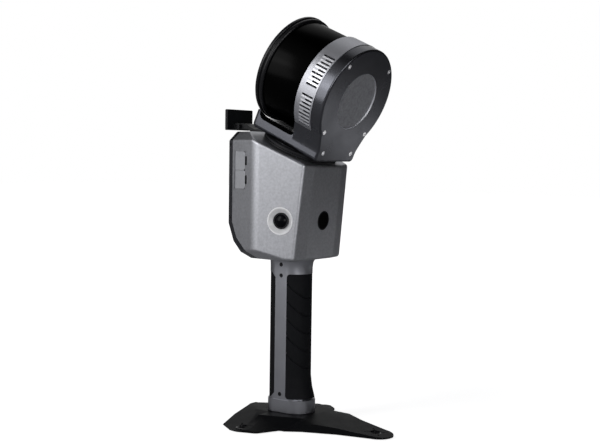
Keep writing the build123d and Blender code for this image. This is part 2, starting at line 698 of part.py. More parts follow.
save(at(head, slip_turning), "slip_ring_core")

# Yoke: cradle base on the turntable and the round arm that holds the scanner head
arm_end = head_front - cover_plate_depth
base_reach = arm_end + head_front + 1
base = Pos(0, head_front + 1, base_low) * Box(
    2 * arm_foot_half, base_reach, base_high - base_low,
    align=(Align.CENTER, Align.MAX, Align.MIN))
lip_profile = make_face(
    Polyline((head_front + 1, base_low), (head_front + 1, lip_height - 3.0),
             (head_front - 1.5, lip_height), (head_front + 1 - lip_depth, lip_height))
    + RadiusArc((head_front + 1 - lip_depth, lip_height),
                (head_front + 1 - lip_depth - lip_round, base_high), lip_round)
    + Polyline((head_front + 1 - lip_depth - lip_round, base_high),
               (head_front + 1 - lip_depth - lip_round, base_low), (head_front + 1, base_low)))
lip = Pos(-arm_foot_half, 0, 0) * extrude(
    Plane(origin=(0, 0, 0), x_dir=(0, 1, 0), z_dir=(1, 0, 0)) * lip_profile, 2 * arm_foot_half)
base += lip
base = fillet(base.edges().filter_by(
    lambda edge: edge.geom_type == GeomType.LINE and abs(edge.center().Y - head_front - 1) < 0.1
    and abs(edge.center().X) > arm_foot_half - 0.1), 5.0)
base = fillet(base.edges().filter_by(
    lambda edge: edge.center().Z < base_low + 0.1 and abs(edge.center().X) > 1.0), toe_round)
foot_boss = tube(turntable_radius - 6, 0, turntable_high, base_low)
axis_plane = Plane(origin=(0, 0, lidar_height), x_dir=(1, 0, 0), z_dir=(0, -1, 0))


def arm_outline(shrink):
    low_edge = base_low - lidar_height + shrink
    half = arm_foot_half - shrink
    face = make_face(Polyline(
        (-half, low_edge), (half, low_edge), (half, low_edge + 11),
        (37.4 - shrink, -33.4 - 0.2 * shrink), (0, 0), (-37.4 + shrink, -33.4 - 0.2 * shrink),
        (-half, low_edge + 11), close=True))
    waist = [v for v in face.vertices() if abs(v.Y - low_edge - 11) < 0.01]
    face = fillet(waist, 16.0)
    toes = [v for v in face.vertices() if abs(v.Y - low_edge) < 0.01]
    face = fillet(toes, toe_round)
    return face + Circle(plate_radius - shrink)


arm = Pos(0, 0, arm_start) * extrude(arm_outline(0), arm_end - arm_start)
arm -= tube(20.0, 0, arm_start + 2.5, arm_end + 1)
shoulder = Pos(0, 0, ring_start) * extrude(arm_outline(0), arm_start - ring_start)
shoulder &= Pos(0, -lidar_height, 0) * Box(
    200, 2 * (lidar_height - 31.5), 200)
corner_block = Pos(0, -ring_start, base_high) * Box(
    2 * arm_foot_half, 2 * cradle_round, 2 * cradle_round)
corner_block -= Pos(0, cradle_round - ring_start, base_high + cradle_round) * Rot(
    0, 90, 0) * Cylinder(cradle_round, 4 * arm_foot_half)
yoke_low = base + foot_boss + at(axis_plane, shoulder) + corner_block
yoke_low -= at(axis_plane, tube(cap_radius + cradle_gap, 0, -60, ring_start - 0.6))
yoke_low -= at(axis_plane, tube(ring_radius + seat_gap, 0, ring_start - 1, arm_start))
yoke = yoke_low + at(axis_plane, arm)
boss_high = 8.4
yoke += tube(turntable_radius - 9, 0, turntable_high, boss_high)
yoke -= tube(2.4, 0, 0, 30)
for plane in hub_screw_tops:
    yoke -= screw_hole(plane, *yoke_screw)
cover_screw_spots = [(x, y) for x in (-32.9, 32.9) for y in (-31.4, 31.4)]
cover_screw_spots += [
    (side * cover_screw_half, cover_screw_height - lidar_height) for side in (-1, 1)]
cover_screw_planes = [Plane(origin=(x, y, head_front)) for x, y in cover_screw_spots]
for plane in cover_screw_planes:
    yoke -= at(axis_plane, screw_hole(plane, *front_screw))
save(at(head, Compound([screw(plane, *yoke_screw) for plane in hub_screw_tops])),
     "yoke_screws")
save(at(head, yoke), "yoke")

plate = extrude(arm_outline(0), cover_plate_depth)
plate = Pos(0, 0, arm_end) * plate
plate = fillet(plate.edges().group_by(Axis.Z)[-1], 1.9)
recess_depth = 1.2
screw_proud = 0.15
plate -= tube(badge_radius + 0.6, 0, head_front - recess_depth - 0.8, head_front + 1)
front_screws = []
for plane in cover_screw_planes:
    plate -= screw_hole(plane, *front_screw)
    front_screws.append(screw(plane, *front_screw, screw_proud))
save(lidar.location * plate, "end_cover")
badge = tube(badge_radius, 0, head_front - recess_depth - 0.8, head_front - recess_depth)
badge = fillet(badge.edges().group_by(Axis.Z)[-1], 0.3)
save(lidar.location * badge, "end_cover_disc")
save(lidar.location * Compound(front_screws), "end_cover_screws")

# Scanner head: finned base ring, dark window, flanged cap, spinning optics
fin_start = ring_start + plain_band
fin_groups = 8
fins_in_group = 12
fin_pitch = 3.2
slot_width = 1.5
fin_floor = ring_radius - 3.4
fin_face = Circle(ring_radius)
slot_tools = []
for group in range(fin_groups):
    middle = 360.0 / fin_groups * (group + 0.5)
    first = middle - 0.5 * fin_pitch * (fins_in_group - 1)
    for count in range(fins_in_group):
        slot_tools.append(Rot(0, 0, first + fin_pitch * count) * Pos(ring_radius, 0) * Rectangle(
            2 * (ring_radius - fin_floor), slot_width))
fin_face -= slot_tools
ring = Pos(0, 0, fin_start) * extrude(fin_face, arm_start - fin_start - 1.6)
ring += tube(ring_radius, 0, arm_start - 1.6, arm_start)
ring += tube(ring_radius, 0, ring_start, fin_start)
ring -= tube(34.0, 0, ring_start + 3, arm_start - 4)
save(lidar.location * ring, "lidar_base_ring")
cap_start = -head_front + cap_depth
spindle_radius = 5.0
window = tube(window_radius, window_radius - 3.6, cap_start, ring_start)
save(lidar.location * window, "lidar_window")
cap = tube(cap_radius, 0, -head_front, cap_start)
cap = fillet(cap.edges().group_by(Axis.Z)[0], 1.2)
cap = chamfer(cap.edges().group_by(Axis.Z)[-1], 0.5)
cap -= tube(window_radius - 3.6, spindle_radius + 5, -head_front + 3, cap_start + 1)
cap -= tube(cap_radius + 1, cap_radius - 0.9, -head_front + 2.6, -head_front + 3.5)
cap -= tube(cap_radius + 1, cap_radius - 0.9, cap_start - 2.2, cap_start - 1.3)
save(lidar.location * cap, "lidar_cap")
shaft = tube(spindle_radius, 0, cap_start, ring_start)
save(lidar.location * shaft, "lidar_spindle")
rotor = tube(40.0, spindle_radius + run_gap, cap_start + 4, ring_start - 4)
rotor -= tube(37.5, 12.0, cap_start + 6.5, ring_start)
rotor -= Pos(0, 40, -12) * Box(60, 12, 26)
rotor += Pos(0, 32.5, -12) * Box(38, 4, 26)
for lens_x in (-13, 13):
    rotor += Pos(lens_x, 35.5, -12) * Rot(90, 0, 0) * Cylinder(8, 3)
save(lidar.location * rotor, "lidar_rotor")

# Phone bracket: arm on the flat top, tilting plate on a friction pin
pin_y = bracket_plate_y - 0.5 * bracket_plate_depth - 4.1
pin_z = bracket_low_z + 3.4
arm_half = 7.0
lug_width = 3.6
lug_radius = 3.4
arm_side = make_face(Polyline(
    (31, top_z), (46.2, top_z), (49.4, top_z + 2.6), (pin_y - 4.0, top_z + 3.6),
    (pin_y, pin_z - 3.4), (pin_y, pin_z + 3.4), (pin_y - 3.4, pin_z + 3.4), (52.0, top_z + 7.6),
    (46.5, top_z + 4.6), (41.5, top_z + bracket_base), (31, top_z + bracket_base),
    close=True))
arm_bracket = Pos(arm_half, 0, 0) * extrude(
    Plane(origin=(0, 0, 0), x_dir=(0, 1, 0), z_dir=(1, 0, 0)) * arm_side, -2 * arm_half)
pin_plane = Plane(origin=(0, pin_y, pin_z), x_dir=(0, 1, 0), z_dir=(1, 0, 0))
arm_bracket += at(pin_plane, tube(lug_radius, 0, -arm_half, arm_half))
arm_bracket -= at(pin_plane, tube(bracket_pin_radius + seat_gap, 0, -arm_half - 1,
                                  arm_half + 1))
for plane in bracket_screw_planes:
    arm_bracket -= screw_hole(plane, *bracket_screw)
save(arm_bracket, "bracket_arm")
save(Compound([screw(plane, *bracket_screw) for plane in bracket_screw_planes]),
     "bracket_screws")
bracket_plate = Pos(0, bracket_plate_y, bracket_low_z) * Box(
    2 * bracket_plate_half, bracket_plate_depth, bracket_high_z - bracket_low_z,
    align=(Align.CENTER, Align.CENTER, Align.MIN))
bracket_plate = fillet(bracket_plate.edges().filter_by(Axis.Y), 1.2)
for side in (-1, 1):
    lug_mid = side * (arm_half + 0.2 + 0.5 * lug_width)
    lug = at(pin_plane, Pos(0, 0, lug_mid) * Cylinder(lug_radius, lug_width))
    lug += Pos(lug_mid, pin_y, pin_z) * Box(
        lug_width, bracket_plate_y - pin_y, 2 * lug_radius,
        align=(Align.CENTER, Align.MIN, Align.CENTER))
    bracket_plate += lug
bracket_plate -= at(pin_plane, tube(bracket_pin_radius, 0, -30, 30))
plate_rear = bracket_plate_y + 0.5 * bracket_plate_depth
bolt_half = 11.0
bolt_radius = 1.7
bolt_depth = 2.2
for side in (-1, 1):
    bracket_plate -= Pos(side * bolt_half, plate_rear, bracket_high_z - 6) * Rot(
        90, 0, 0) * Cylinder(bolt_radius, 2 * bolt_depth)
save(bracket_plate, "bracket_plate")
pin_half = arm_half + 0.2 + lug_width
bracket_pin = at(pin_plane, tube(bracket_pin_radius, 0, -pin_half, pin_half))
save(bracket_pin, "bracket_pin")
bracket_pad = Pos(0, plate_rear, bracket_low_z + 1.5) * Box(
    2 * bracket_plate_half - 3, 1.2, 8.5, align=(Align.CENTER, Align.MIN, Align.MIN))
save(bracket_pad, "bracket_pad")
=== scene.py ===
import bpy
import bmesh
import json
from math import cos, sin, tan, pi, radians
from mathutils import Matrix, Vector


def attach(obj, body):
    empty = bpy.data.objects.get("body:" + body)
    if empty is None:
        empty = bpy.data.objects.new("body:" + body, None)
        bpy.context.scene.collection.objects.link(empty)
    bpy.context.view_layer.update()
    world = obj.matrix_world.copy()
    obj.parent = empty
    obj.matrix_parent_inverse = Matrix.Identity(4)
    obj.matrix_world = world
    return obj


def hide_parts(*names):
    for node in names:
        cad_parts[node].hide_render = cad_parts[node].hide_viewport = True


# Handheld scanner on its survey foot. Lengths are in millimetres, and become metres as each
# piece is finished. The camera, the lamps and the floor are placed in metres.
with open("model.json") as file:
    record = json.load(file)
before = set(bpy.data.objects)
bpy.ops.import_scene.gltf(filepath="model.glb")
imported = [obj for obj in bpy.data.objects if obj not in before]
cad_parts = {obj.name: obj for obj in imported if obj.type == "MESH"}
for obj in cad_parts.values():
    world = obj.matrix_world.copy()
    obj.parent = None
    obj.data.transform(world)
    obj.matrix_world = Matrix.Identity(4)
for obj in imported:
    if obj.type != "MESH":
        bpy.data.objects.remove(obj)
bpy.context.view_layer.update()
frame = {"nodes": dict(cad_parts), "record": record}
nodes = frame["nodes"]
MM = 0.001

# Sizes shared with the solids
slope = radians(24.3)
pivot_y = -7.3
shoulder_z = 268.1
ridge_y = 10.0
lidar_height = 65.7
head_front = 40.0
disc_radius = 26.5
disc_gap = 0.6
disc_depth = 1.2
cap_radius = 51.4
cap_depth = 8.0
window_radius = 48.4
ring_radius = 50.6
ring_start = 8.4
plain_band = 7.0
arm_start = 28.5
door_width = 15.8
door_height = 17.6
pin_radius = 2.0
pin_length = 21.6
pin_place = (0, 61.0, 281.4)
door_place = (-39.59, 38.4, 240.0)

# Sizes that only the shown pieces have
# Dark blocks of painted shade in the door notches: size, overhang, depth and round
notch_shade_size = (2.2, 8.0, 1.1)
notch_shade_past_edge = 0.1
notch_shade_depth = 0.45
notch_shade_round = 0.4
pin_clearance = 0.06
cap_dish_depth = 0.6
cap_dish_radius = 38.0
cap_hub_radius = 10.0
window_wall = 3.6
window_round = 0.5
lip_below_face = 0.15
lip_below_disc = 0.2
lip_top_width = 0.1
lip_disc_gap = 0.05
lip_cover_gap = 0.02

# How finely the shown pieces are made. Edges that fold by the sharp angle or more stay hard,
# and facets within the flat angle of each other become one face. The angles are in degrees.
sharp_angle = 32.0
turned_sharp_angle = 25.0
flat_angle = 0.6
weld_distance = 0.002
bevel_steps = 3
pin_turning = 48
disc_turning = 128
fine_turning = 160

head_turn = Matrix.Rotation(slope, 4, "X")
head_frame = Matrix.Translation(
    (0, pivot_y, shoulder_z + (pivot_y - ridge_y) * tan(slope))) @ head_turn
lidar_frame = head_frame @ Matrix.Translation((0, 0, lidar_height)) @ Matrix.Rotation(
    pi / 2, 4, "X")
# Doors: x runs forward along the rear flank, z points out of it
door_along = Vector((-0.2523, -0.9676, 0))
door_out = Vector((-0.9676, 0.2523, 0))
door_frame = Matrix.Translation(door_place) @ Matrix(
    (door_along, door_out.cross(door_along), door_out)).transposed().to_4x4()


# Camera at the photograph's angle. Its place and directions were fitted to the photograph.
camera_data = bpy.data.cameras.new("camera")
camera_data.sensor_width = 36.0
camera_data.lens = 67.58
camera_data.clip_start = 0.05
camera_data.clip_end = 20.0
camera = bpy.data.objects.new("camera", camera_data)
bpy.context.scene.collection.objects.link(camera)
camera_right = (0.58545, -0.81059, 0.01388)
camera_up = (0.04136, 0.04697, 0.99804)
camera_back = (-0.80965, -0.58372, 0.06103)
camera_place = (-0.86224, -0.63033, 0.25612)
camera.matrix_world = Matrix.Translation(camera_place) @ Matrix(
    (camera_right, camera_up, camera_back)).transposed().to_4x4()
bpy.context.scene.camera = camera


# Material helpers
def linear(hex_colour):
    """An sRGB hex colour as linear red, green, blue and a full alpha."""
    parts = [int(hex_colour[i:i + 2], 16) / 255 for i in (0, 2, 4)]
    lit = [p / 12.92 if p <= 0.04045 else ((p + 0.055) / 1.055) ** 2.4 for p in parts]
    return tuple(lit + [1.0])


def add(tree, kind, links=None, **settings):
    """One node: settings go to its properties or its sockets, and links to its sockets."""
    node = tree.nodes.new(kind)
    for key, value in settings.items():
        if hasattr(node, key):
            setattr(node, key, value)
        else:
            node.inputs[key.replace("_", " ")].default_value = value
    for socket, source in (links or {}).items():
        tree.links.new(source, node.inputs[socket])
    return node


def material(name, colour, roughness, metallic=0.0, ior=None, specular=None, coat=0.0, glow=None,
             grain=0.0, grain_size=0.3, fleck=0.0, tint=0.04, patch_size=18.0, rough_swing=0.05):
    """A procedural finish, with lengths in millimetres.

    The grain is a bump of that height and spacing, and fleck is how far its crests and hollows
    differ in brightness. Tint and rough_swing are how far colour and roughness drift over
    patches of the given size. Glow is the colour of a piece that is lit from behind.
    """
    made = bpy.data.materials.new(name)
    made.use_nodes = True
    tree = made.node_tree
    tree.nodes.clear()
    place = add(tree, "ShaderNodeTexCoord")
    patches = add(tree, "ShaderNodeTexNoise", {"Vector": place.outputs["Object"]},
                  Scale=1 / (patch_size * MM), Detail=3.0)
    # A colour mix takes its factor, dark and light colour at 0, 6 and 7, and gives it at 2
    tones = add(tree, "ShaderNodeMix", {0: patches.outputs["Fac"]}, data_type="RGBA")
    base = linear(colour)[:3]
    tones.inputs[6].default_value = tuple([c * (1 - tint) for c in base] + [1.0])
    tones.inputs[7].default_value = tuple([min(1.0, c * (1 + tint)) for c in base] + [1.0])
    painted = tones.outputs[2]
    swing = add(tree, "ShaderNodeMapRange", {"Value": patches.outputs["Fac"]},
                To_Min=max(0.02, roughness - rough_swing),
                To_Max=min(1.0, roughness + rough_swing))
    if grain:
        fine = add(tree, "ShaderNodeTexNoise", {"Vector": place.outputs["Object"]},
                   Scale=1 / (grain_size * MM), Detail=2.0)
    if fleck:
        level = add(tree, "ShaderNodeMapRange", {"Value": fine.outputs["Fac"]},
                    From_Min=0.3, From_Max=0.7, To_Min=1 - fleck, To_Max=1 + fleck)
        painted = add(tree, "ShaderNodeVectorMath", {0: painted, "Scale": level.outputs["Result"]},
                      operation="SCALE").outputs["Vector"]
    shader = add(tree, "ShaderNodeBsdfPrincipled",
                 {"Base Color": painted, "Roughness": swing.outputs["Result"]})
    shader.inputs["Metallic"].default_value = metallic
    if ior:
        shader.inputs["IOR"].default_value = ior
    if specular is not None:
        shader.inputs["Specular IOR Level"].default_value = specular
    if coat:
        shader.inputs["Coat Weight"].default_value = coat
        shader.inputs["Coat Roughness"].default_value = 0.05
    if glow:
        shader.inputs["Emission Color"].default_value = linear(glow)
        shader.inputs["Emission Strength"].default_value = 0.6
    if grain:
        bump = add(tree, "ShaderNodeBump", {"Height": fine.outputs["Fac"]},
                   Strength=1.0, Distance=grain * MM)
        tree.links.new(bump.outputs["Normal"], shader.inputs["Normal"])
    out = add(tree, "ShaderNodeOutputMaterial", {"Surface": shader.outputs["BSDF"]})
    out.is_active_output = True
    return made


# Finishes. A grain that is too fine to show at the photograph's size is drawn coarser.
# Body shell: die-cast magnesium sprayed satin metallic grey. A broad, soft sheen with a fine
# mottle. The peel of the paint, about 0.5 mm across, is drawn at 2.2 mm.
satin_paint = material("satin_metallic_paint", "A9AAAF", 0.4, metallic=0.95, specular=0.2,
                       grain=0.04, grain_size=2.2, fleck=0.1, tint=0.03, rough_swing=0.04)
# Port doors: the same paint sprayed on thin castings. A shade paler and duller than the flank,
# so that the doors stand out. Its 0.5 mm peel is drawn at 1.1 mm.
door_paint = material("satin_door_paint", "BBBCC1", 0.5, metallic=0.85, specular=0.2,
                      grain=0.035, grain_size=1.1, fleck=0.08, tint=0.03)
# Side camera dishes: the body paint drawn far paler and matt, painted light in the cones, which
# still shade from side to side. Its 0.3 mm texture is drawn at 1 mm.
dish_light_paint = material("painted_light_dish", "F4F4F6", 0.45, metallic=0.12, specular=0.3,
                      grain=0.02, grain_size=1.0, tint=0.03)
# Yoke and covers: cast and machined aluminium, sprayed dark metallic grey. Deep in tone, with
# tight lights along its rounded edges. Its 0.3 mm peel is drawn at 1 mm.
dark_paint = material("dark_metallic_paint", "4E4F54", 0.26, metallic=0.95, specular=0.3,
                      grain=0.02, grain_size=1.0, fleck=0.06, tint=0.03)
# End cover's disc: aluminium, blasted and etched. A flat, speckled grey. The marks of the
# grit, about 0.2 mm across, are drawn at 2.2 mm.
etched_disc = material("etched_aluminium", "97989D", 0.55, metallic=0.8, grain=0.05,
                       grain_size=2.2, fleck=0.16, tint=0.2, patch_size=5.0)
# Base ring and drive housing: aluminium, turned and anodised silver. Clean and pale, with a
# soft edge to each light. Turning marks 0.1 mm apart are drawn at 0.5 mm.
anodised = material("anodised_aluminium", "AEAFB5", 0.48, metallic=1.0, grain=0.01,
                    grain_size=0.5, tint=0.03)
# Floors of the cooling slots: the ring's aluminium drawn nearly black as painted shade in the
# recesses, so that the fins between them stand out.
slot_shade_paint = material("painted_slot_shade", "2C2D30", 0.6, metallic=0.6, tint=0.1, patch_size=3.0)
# Fin tops, and the lip round the disc: the ring's aluminium drawn whiter than the plain band, a
# painted highlight.
fin_highlight_paint = material("painted_fin_highlight", "E6E7EC", 0.52, metallic=1.0, tint=0.02)
# Handle frame and collars: extruded aluminium, satin anodised. A calm mid grey, with a soft
# light down the collars. Its 0.1 mm grain is drawn at 0.4 mm.
handle_metal = material("satin_anodised_handle", "8D8E94", 0.32, metallic=0.9, grain=0.01,
                        grain_size=0.4)
# Windows of range finder and front camera: infrared-pass polycarbonate, moulded and polished.
# Black, with light on it only where it is seen at a shallow angle.
dark_window = material("infrared_polycarbonate", "000000", 0.22, ior=1.3, specular=0.07,
                       tint=0.2, rough_swing=0.02)
# Flanged cap: aluminium turned and hard anodised black. Smooth enough to draw a thin line of
# light along each rim.
cap_black = material("hard_black_anodising", "111114", 0.3, specular=0.22, tint=0.08,
                     rough_swing=0.03)
# Bracket, bezels and button: glass-filled nylon, moulded black. An even, dull black. Its spark
# eroded texture, about 0.1 mm, is drawn at 0.6 mm.
black_nylon = material("black_nylon", "121316", 0.5, specular=0.25, grain=0.03, grain_size=0.6,
                       tint=0.08, patch_size=10.0)
# Grips, pads and the foot's centre mark: thermoplastic rubber, moulded soft and matt. A deep
# black, with hardly a light on it. Its 0.1 mm texture is drawn at 0.5 mm.
grip_rubber = material("grip_rubber", "08090D", 0.66, specular=0.14, grain=0.025,
                       grain_size=0.5, tint=0.12, patch_size=9.0)
# Foot: cast aluminium, powder coated black and baked. Its planes are told apart by a faint
# sheen alone. Its 0.3 mm pebbling is drawn at 0.7 mm.
foot_coat = material("foot_powder_coat", "0B0C0E", 0.55, specular=0.06, grain=0.03,
                     grain_size=0.7, tint=0.08, patch_size=12.0)
# End cover and yoke screws: stainless steel, turned. Pale rims round dark sockets.
stainless = material("stainless_steel", "F4F4F6", 0.3, metallic=0.75, tint=0.02)
# Other screws and the foot's bushes: steel blackened with oxide. Nearly black, with a little
# of the metal's sheen.
black_oxide = material("black_oxide_steel", "1B1B1E", 0.4, metallic=0.7, tint=0.08)
# Lenses: glass, ground, polished and coated. A deep black dome with one small light.
lens_glass = material("coated_lens_glass", "030408", 0.12, ior=1.4, specular=0.12, tint=0.2,
                      rough_swing=0.01)
# Thread bush and contacts: turned brass. Warm yellow, bright on its rounds.
brass = material("turned_brass", "C8A45A", 0.3, metallic=1.0)
# Circuit boards: glass fibre under green lacquer, which looks wet.
board_green = material("circuit_board", "1F4A33", 0.45, coat=0.3, tint=0.1, patch_size=4.0)
# Cells: blue film, shrunk on. Smooth and plain.
cell_wrap = material("cell_wrap", "2C5FA0", 0.35, tint=0.05)
# Handle core, slip ring and sockets: glass-filled nylon, moulded and left rough. A flat
# charcoal. Its 0.1 mm texture is drawn at 0.6 mm.
inner_black = material("inner_black_nylon", "202124", 0.5, grain=0.02, grain_size=0.6)
# Status light: acrylic, moulded and lit from behind. A green that glows a little.
light_pipe = material("light_pipe", "9FD8A8", 0.25, tint=0.03, glow="7FE08F")
# Bearing, motor, spindle and door pin: ground steel. Mid grey with a broad sheen.
steel_plain = material("ground_steel", "A9AAAE", 0.32, metallic=1.0)

nodes_by_finish = {
    satin_paint: ["body_shell"],
    dish_light_paint: ["side_camera_rings"],
    door_paint: ["port_door_upper", "port_door_lower"],
    dark_paint: ["rear_cover", "yoke", "end_cover", "power_button_bezel"],
    etched_disc: ["end_cover_disc"],
    anodised: ["lidar_base_ring", "drive_housing", "inner_frame", "encoder_disc"],
    handle_metal: ["handle_frame", "handle_top_collar"],
    dark_window: ["lidar_window", "front_camera_window"],
    black_nylon: ["bracket_arm", "bracket_plate", "front_camera_bezel", "side_camera_barrels",
                  "front_camera_barrel", "turntable", "lidar_cap", "power_button",
                  "foot_clamp_screw"],
    grip_rubber: ["foot_pads", "foot_centre_mark", "handle_front_grip", "handle_rear_grip",
                  "bracket_pad", "button_switch"],
    foot_coat: ["foot_base"],
    stainless: ["end_cover_screws", "yoke_screws"],
    black_oxide: ["foot_point_bushes", "rear_cover_screws", "handle_screws", "bracket_screws",
                  "bracket_pin"],
    steel_plain: ["port_door_pin", "bearing_inner_ring", "bearing_outer_ring", "lidar_spindle",
                  "motor_stator", "motor_rotor"],
    brass: ["handle_thread_bush", "battery_contacts"],
    lens_glass: ["side_camera_lenses"],
    inner_black: ["handle_core", "slip_ring_core", "slip_ring_body", "motion_sensor",
                  "port_sockets", "lidar_rotor"],
    board_green: ["camera_boards", "main_board", "button_board"],
    cell_wrap: ["battery_cells"],
    light_pipe: ["status_light"],
}
finish_of = {name: finish for finish, names in nodes_by_finish.items() for name in names}
for name, node in nodes.items():
    node.data.materials.clear()
    node.data.materials.append(finish_of[name])

body_of = {name: body for body, names in frame["record"]["behaviour"]["bodies"].items()
           for name in names}


# Mesh helpers
def shade(bm, sharp_from):
    """Smooth shading, with a hard line at each edge that folds by that many degrees or more."""
    for face in bm.faces:
        face.smooth = True
    for edge in bm.edges:
        if len(edge.link_faces) == 2:
            edge.smooth = edge.calc_face_angle(0.0) < radians(sharp_from)


def piece(name, bm, finish, body, stands_for=(), place=None, outward=True,
          sharp_from=sharp_angle):
    """One finished mesh, drawn in millimetres in its own frame and set in place in metres.

    It rides on the body and stands for the named CAD nodes. Its faces are turned outwards,
    unless they already point the right way.
    """
    bmesh.ops.remove_doubles(bm, verts=bm.verts, dist=weld_distance)
    if outward:
        bmesh.ops.recalc_face_normals(bm, faces=bm.faces)
    shade(bm, sharp_from)
    bm.transform(Matrix.Scale(MM, 4) @ (place or Matrix.Identity(4)))
    mesh = bpy.data.meshes.new(name)
    bm.to_mesh(mesh)
    bm.free()
    mesh.materials.append(finish)
    made = bpy.data.objects.new(name, mesh)
    bpy.context.scene.collection.objects.link(made)
    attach(made, body)
    if stands_for:
        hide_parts(*stands_for)
    return made


def smooth_copy(node_name, bevel):
    """The CAD node's own shape, merged, smooth-shaded and with its edges softened."""
    bm = bmesh.new()
    bm.from_mesh(nodes[node_name].data)
    bm.transform(Matrix.Scale(1 / MM, 4))
    bmesh.ops.remove_doubles(bm, verts=bm.verts, dist=weld_distance)
    bmesh.ops.dissolve_limit(bm, angle_limit=radians(flat_angle), verts=bm.verts,
                             edges=bm.edges, use_dissolve_boundaries=False)
    made = piece(node_name + "_shown", bm, finish_of[node_name], body_of[node_name],
                 (node_name,), outward=False)
    if bevel:
        soft = made.modifiers.new("soft_edge", "BEVEL")
        soft.width = bevel * MM
        soft.segments = bevel_steps
        soft.limit_method = "ANGLE"
        soft.angle_limit = radians(sharp_angle)
        soft.use_clamp_overlap = True
    # Large faces decide the normals at their edges, so that they look flat up to the round
    flat = made.modifiers.new("flat_faces", "WEIGHTED_NORMAL")
    flat.weight = 100
    flat.keep_sharp = True


def turned(profile, steps):
    """A turned shape from a closed outline of radius and height."""
    bm = bmesh.new()
    verts = [bm.verts.new((radius, 0, height)) for radius, height in profile]
    edges = [bm.edges.new((a, b)) for a, b in zip(verts, verts[1:] + verts[:1])]
    bmesh.ops.spin(bm, geom=verts + edges, axis=(0, 0, 1), cent=(0, 0, 0), angle=2 * pi,
                   steps=steps, use_merge=True)
    return bm


# Outer pieces shown as smooth copies, each with the width of its softened edges, 0 for none
edge_widths = {
    "body_shell": 0.0, "rear_cover": 0.0, "yoke": 0.8, "end_cover": 0.0, "end_cover_disc": 0.0,
    "foot_base": 0.6, "handle_frame": 0.25, "handle_top_collar": 0.25,
    "handle_front_grip": 0.6, "handle_rear_grip": 0.6, "turntable": 0.0,
    "side_camera_rings": 0.2, "side_camera_barrels": 0.1, "side_camera_lenses": 0.0,
    "front_camera_bezel": 0.1, "front_camera_window": 0.1, "bracket_arm": 0.3,
    "bracket_plate": 0.3, "bracket_pad": 0.3, "port_door_upper": 0.25, "port_door_lower": 0.25,
    "power_button": 0.1, "power_button_bezel": 0.15, "handle_screws": 0.12,
    "end_cover_screws": 0.15, "rear_cover_screws": 0.06, "foot_pads": 0.2,
    "foot_clamp_screw": 0.3, "foot_point_bushes": 0.15,
}
for name, width in edge_widths.items():
    smooth_copy(name, width)


# Painted shade: dark blocks in the rubber finish that fill the finger notches of the port doors
for side, body in ((1, "door_upper"), (-1, "door_lower")):
    notch_shade_place = Matrix.Translation(
        (door_width + notch_shade_past_edge, 0.5 * side * door_height, -notch_shade_depth))
    bm = bmesh.new()
    bmesh.ops.create_cube(bm, size=1.0, matrix=notch_shade_place @ Matrix.Diagonal((*notch_shade_size, 1)))
    bmesh.ops.bevel(bm, geom=bm.edges[:], offset=notch_shade_round, offset_type="OFFSET",
                    segments=bevel_steps, profile=0.5, affect="EDGES", material=-1)
    piece(body + "_notch_shade", bm, grip_rubber, body, place=door_frame)


# Hinge pin of the phone bracket, with running clearance in its lugs
bm = bmesh.new()
bmesh.ops.create_cone(bm, cap_ends=True, segments=pin_turning,
                      radius1=pin_radius - pin_clearance,
                      radius2=pin_radius - pin_clearance, depth=pin_length,
                      matrix=Matrix.Translation(pin_place) @ Matrix.Rotation(pi / 2, 4, "Y"))
piece("bracket_hinge_pin", bm, black_oxide, body_of["bracket_pin"], ("bracket_pin",))


# Flanged cap of the range finder: two rounded rims with a groove between them. Each point of
# the rims is how far it lies inside the cap's radius and how far behind its face.
cap_face = -head_front
rim_points = [(1.4, 0.0), (0.5, 0.35), (0.1, 1.0), (0.0, 2.0), (0.1, 3.0), (0.6, 3.5), (1.5, 3.7),
              (1.8, 4.1), (1.5, 4.5), (0.9, 4.8), (0.6, 5.4), (0.6, 6.8), (1.0, 7.5),
              (1.7, cap_depth)]
cap_profile = [(0, cap_face + cap_dish_depth), (cap_dish_radius, cap_face + cap_dish_depth),
               (cap_dish_radius + cap_dish_depth, cap_face)]
cap_profile += [(cap_radius - inset, cap_face + behind) for inset, behind in rim_points]
cap_profile += [(cap_hub_radius, cap_face + cap_depth), (0, cap_face + cap_depth)]
piece("range_finder_cap", turned(cap_profile, fine_turning), cap_black, "head", ("lidar_cap",),
      lidar_frame)

# Dark window: a turned tube with a fine round where it meets the ring
window_low = cap_face + cap_depth
window_profile = [
    (window_radius - window_wall, window_low), (window_radius, window_low),
    (window_radius, ring_start - window_round),
    (window_radius - 0.4 * window_round, ring_start - 0.3 * window_round),
    (window_radius - window_round, ring_start), (window_radius - window_wall, ring_start)]
piece("range_finder_window", turned(window_profile, fine_turning), dark_window, "head",
      ("lidar_window",), lidar_frame)

# Lip of the end cover's round recess: leans towards the disc, drawn whiter as a painted highlight
lip_top = head_front - lip_below_face
lip_low = head_front - disc_depth - lip_below_disc
lip_outer = disc_radius + disc_gap - lip_cover_gap
lip_profile = [(disc_radius + lip_disc_gap, lip_low), (lip_outer, lip_low), (lip_outer, lip_top),
               (lip_outer - lip_top_width, lip_top)]
piece("end_cover_disc_lip", turned(lip_profile, disc_turning), fin_highlight_paint, "head",
      place=lidar_frame, sharp_from=turned_sharp_angle)

# Base ring: a turned band with groups of cooling slots of uneven length at its two sides
sectors = 8
slotted_sectors = (0, 3, 4, 7)
slots_in_group = 9
slot_pitch = 4.2
slot_angle = 2.1
slot_depth = 3.2
slot_end = arm_start - 1.6
ring_edge = 0.5
ring_bore = 34.0
ring_weld = 0.01
band_end = ring_start + plain_band
# Rows of the ring: 0 is its softened edge, 1 its plain band and the last the rim at its arm
slot_start_heights = (band_end - 1.0, band_end + 1.5, band_end + 4.0)
row_heights = [ring_start, ring_start + ring_edge, *slot_start_heights, slot_end, arm_start]
first_slot_row = 2
